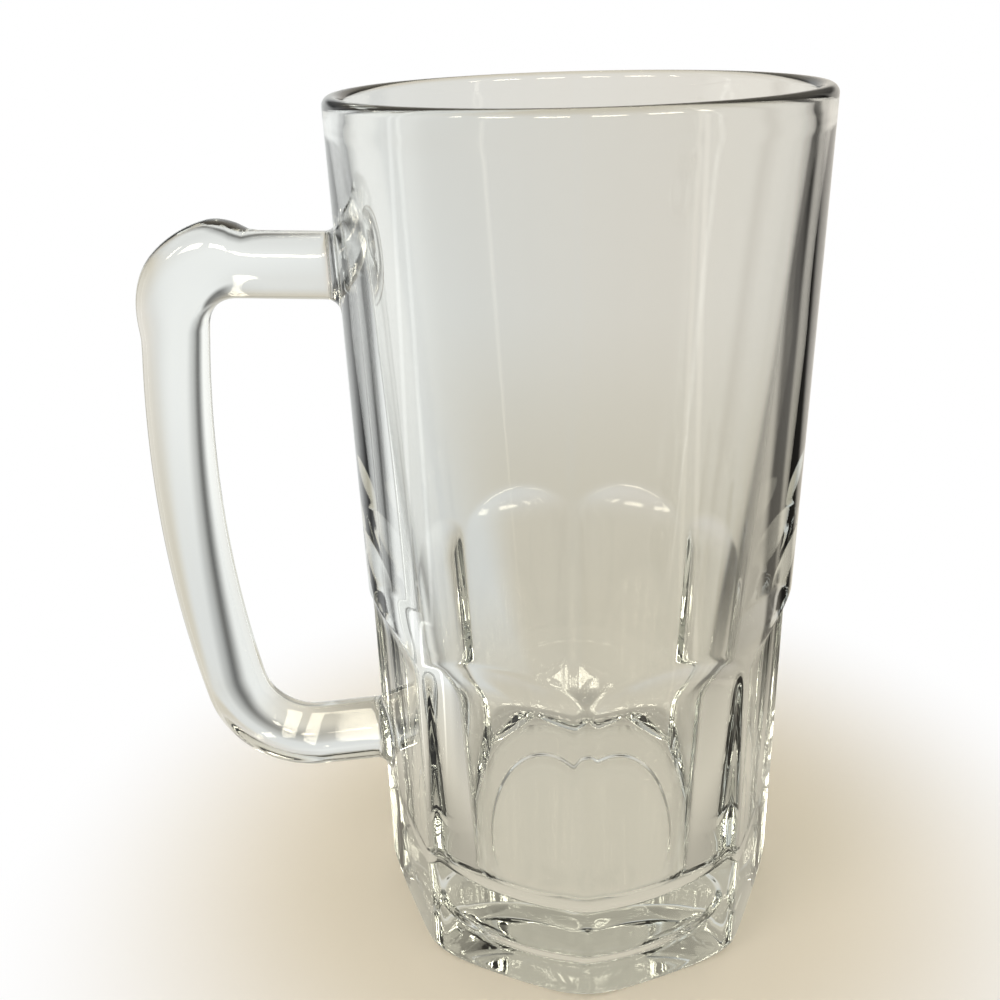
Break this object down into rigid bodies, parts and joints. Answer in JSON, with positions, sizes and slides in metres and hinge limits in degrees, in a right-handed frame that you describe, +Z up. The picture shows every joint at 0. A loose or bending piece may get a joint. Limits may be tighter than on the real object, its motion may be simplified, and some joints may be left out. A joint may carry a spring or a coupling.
{
  "type": "beer mug",
  "caption": "Tall clear pressed-glass beer mug with flat arch-topped panels round its lower half, a thick solid base and a heavy side handle.",
  "frame": {"origin": "on the body's axis, at the plane the foot stands on", "axes": "+Z up along the body's axis, -X towards the handle, +Y away from the viewer of the picture"},
  "size_m": [0.1526, 0.1044, 0.2],
  "materials": {
    "body_glass": "gloss",
    "handle_glass": "gloss"
  },
  "bodies": {
    "root": {"mug_body": "body_glass", "handle": "handle_glass"}
  },
  "joints": []
}
